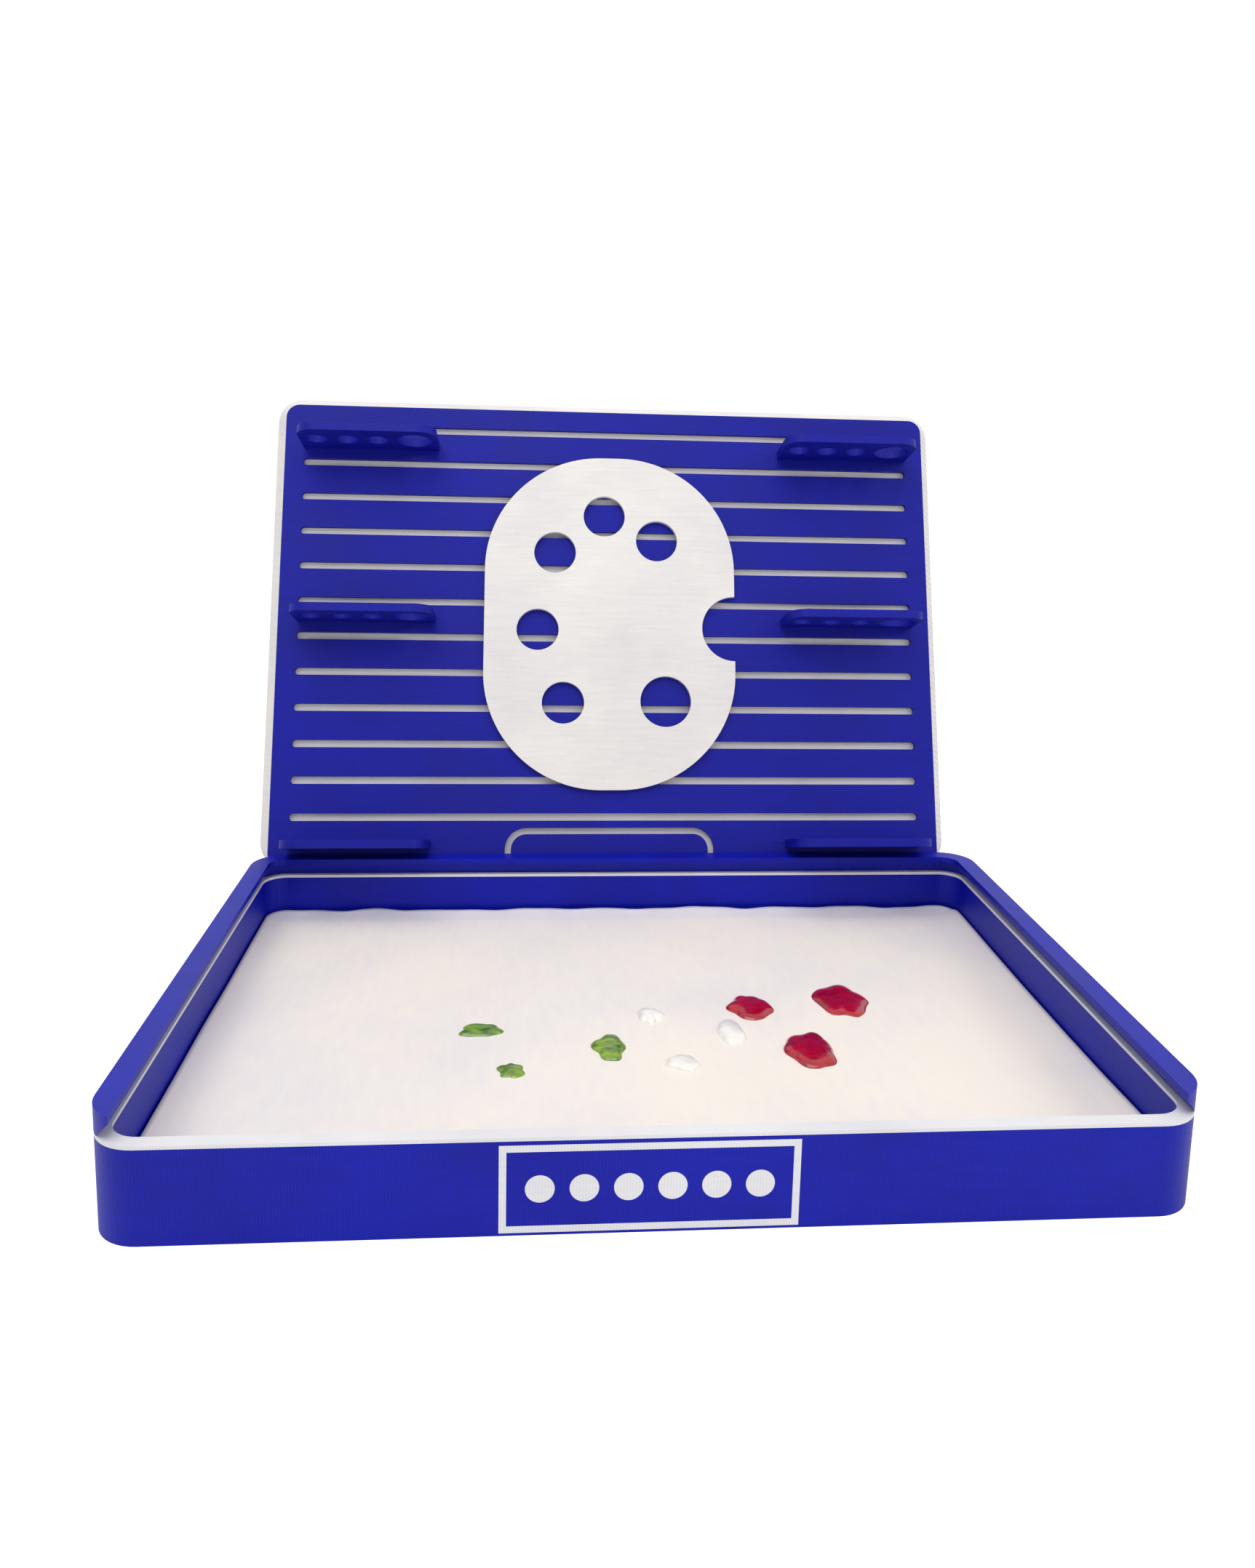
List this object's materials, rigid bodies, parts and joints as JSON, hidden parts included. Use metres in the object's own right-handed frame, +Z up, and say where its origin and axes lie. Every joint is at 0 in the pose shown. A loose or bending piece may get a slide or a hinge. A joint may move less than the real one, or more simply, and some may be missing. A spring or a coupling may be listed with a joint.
{
  "type": "wet palette",
  "caption": "Shallow two-colour printed tray with dovetail rails, wet pad and palette sheet, its sliding lid stood up behind with brush holder tabs",
  "frame": {"origin": "centre of the tray's underside", "axes": "+X to the right along the tray's long side, +Y to the back where the lid stands, +Z up"},
  "size_m": [0.2309, 0.2169, 0.1704],
  "materials": {
    "blue_print": "satin printed layers",
    "white_print": "satin printed layers",
    "wet_sponge": "damp",
    "damp_paper": "damp matt",
    "green_paint": "wet gloss",
    "red_paint": "wet gloss",
    "white_paint": "wet gloss"
  },
  "bodies": {
    "tray": {"tray_shell": "blue_print", "rim_band": "white_print", "lid_rail": "blue_print", "stand_bracket_left": "blue_print", "stand_bracket_right": "blue_print", "label_frame": "white_print", "label_dot_1": "white_print", "label_dot_2": "white_print", "label_dot_3": "white_print", "label_dot_4": "white_print", "label_dot_5": "white_print", "label_dot_6": "white_print"},
    "pad": {"absorbent_pad": "wet_sponge"},
    "sheet": {"palette_sheet": "damp_paper", "green_paint_1": "green_paint", "green_paint_2": "green_paint", "green_paint_3": "green_paint", "red_paint_1": "red_paint", "red_paint_2": "red_paint", "red_paint_3": "red_paint", "white_paint_1": "white_paint", "white_paint_2": "white_paint", "white_paint_3": "white_paint"},
    "lid": {"lid_plate": "white_print", "lid_panel": "blue_print", "grip_inset": "blue_print", "lid_emblem": "white_print", "brush_tab_top_left": "blue_print", "brush_tab_top_right": "blue_print", "brush_tab_middle_left": "blue_print", "brush_tab_middle_right": "blue_print", "brush_rest_left": "blue_print", "brush_rest_right": "blue_print"}
  },
  "joints": [
    {"name": "lid_lift", "type": "slide", "parent": "tray", "child": "lid", "axis": [0, 0.3239, 0.9461], "range_m": [0, 0.055]},
    {"name": "pad_lift", "type": "slide", "parent": "tray", "child": "pad", "axis": [0, 0, 1], "range_m": [0, 0.005]},
    {"name": "sheet_lift", "type": "slide", "parent": "pad", "child": "sheet", "axis": [0, 0, 1], "range_m": [0, 0.007]}
  ]
}
